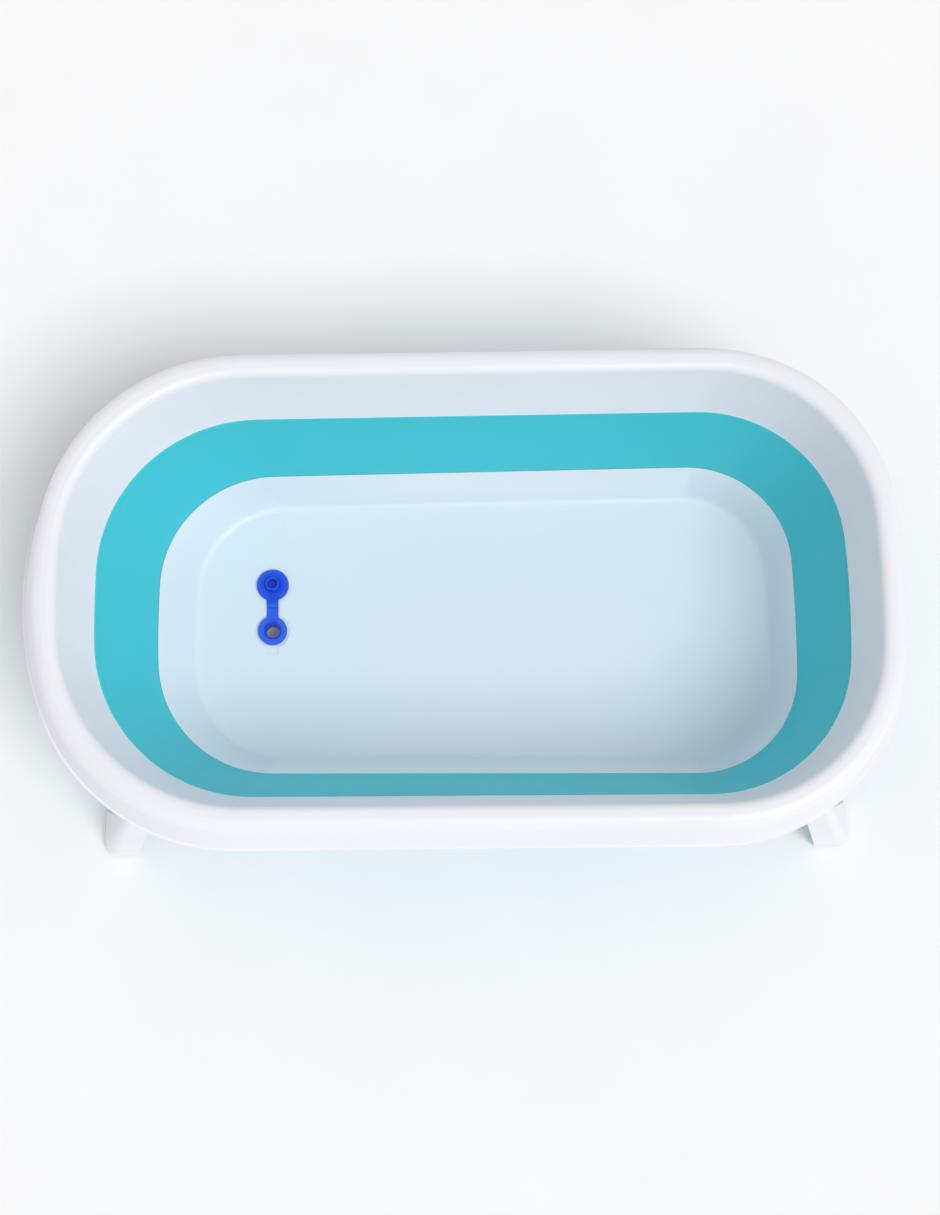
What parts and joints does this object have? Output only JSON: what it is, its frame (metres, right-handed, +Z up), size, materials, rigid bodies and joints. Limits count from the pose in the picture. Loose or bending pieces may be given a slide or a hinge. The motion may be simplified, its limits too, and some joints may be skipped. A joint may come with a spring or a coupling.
{
  "type": "baby bathtub",
  "caption": "Folding baby bath with a rigid rim, soft collapsing band, rigid pan with drain plug, and swing-out legs.",
  "frame": {"origin": "centre of the footprint at floor level", "axes": "+X along the bath from the drain end to the foot end, +Y to the back side, +Z up"},
  "size_m": [0.8199, 0.4776, 0.23],
  "materials": {
    "rim_white": "fine satin moulded polypropylene",
    "band_turquoise": "matte soft-touch elastomer",
    "pan_pale": "satin moulded polypropylene",
    "plug_blue": "satin silicone",
    "leg_white": "fine satin moulded polypropylene",
    "bracket_white": "moulded polypropylene",
    "pad_grey": "matte elastomer",
    "steel": "plated steel"
  },
  "bodies": {
    "rim": {"rim_shell": "rim_white", "folding_band": "band_turquoise", "bracket_screws": "steel", "hinge_bracket_back_left": "bracket_white", "hinge_bracket_back_right": "bracket_white", "hinge_bracket_front_left": "bracket_white", "hinge_bracket_front_right": "bracket_white", "hinge_pin_back_left": "steel", "hinge_pin_back_right": "steel", "hinge_pin_front_left": "steel", "hinge_pin_front_right": "steel"},
    "pan": {"floor_pan": "pan_pale", "drain_plug_ring": "plug_blue"},
    "plug_cap": {"drain_plug_cap": "plug_blue"},
    "leg_back_left": {"leg_back_left": "leg_white", "foot_pad_back_left": "pad_grey"},
    "leg_back_right": {"leg_back_right": "leg_white", "foot_pad_back_right": "pad_grey"},
    "leg_front_left": {"leg_front_left": "leg_white", "foot_pad_front_left": "pad_grey"},
    "leg_front_right": {"leg_front_right": "leg_white", "foot_pad_front_right": "pad_grey"}
  },
  "joints": [
    {"name": "pan_collapse", "type": "slide", "parent": "rim", "child": "pan", "axis": [0, 0, 1], "range_m": [0, 0.115], "deforming": ["folding_band"]},
    {"name": "plug_cap_hinge", "type": "hinge", "parent": "pan", "child": "plug_cap", "pos_m": [-0.1915, 0.0235, 0.0304], "axis": [1, 0, 0], "range_deg": [0, 180]},
    {"name": "leg_back_left_fold", "type": "hinge", "parent": "rim", "child": "leg_back_left", "pos_m": [-0.292, 0.195, 0.176], "axis": [0, -1, 0], "range_deg": [0, 94]},
    {"name": "leg_back_right_fold", "type": "hinge", "parent": "rim", "child": "leg_back_right", "pos_m": [0.316, 0.195, 0.176], "axis": [0, 1, 0], "range_deg": [0, 94]},
    {"name": "leg_front_left_fold", "type": "hinge", "parent": "rim", "child": "leg_front_left", "pos_m": [-0.292, -0.195, 0.176], "axis": [0, -1, 0], "range_deg": [0, 94]},
    {"name": "leg_front_right_fold", "type": "hinge", "parent": "rim", "child": "leg_front_right", "pos_m": [0.316, -0.195, 0.176], "axis": [0, 1, 0], "range_deg": [0, 94]}
  ]
}
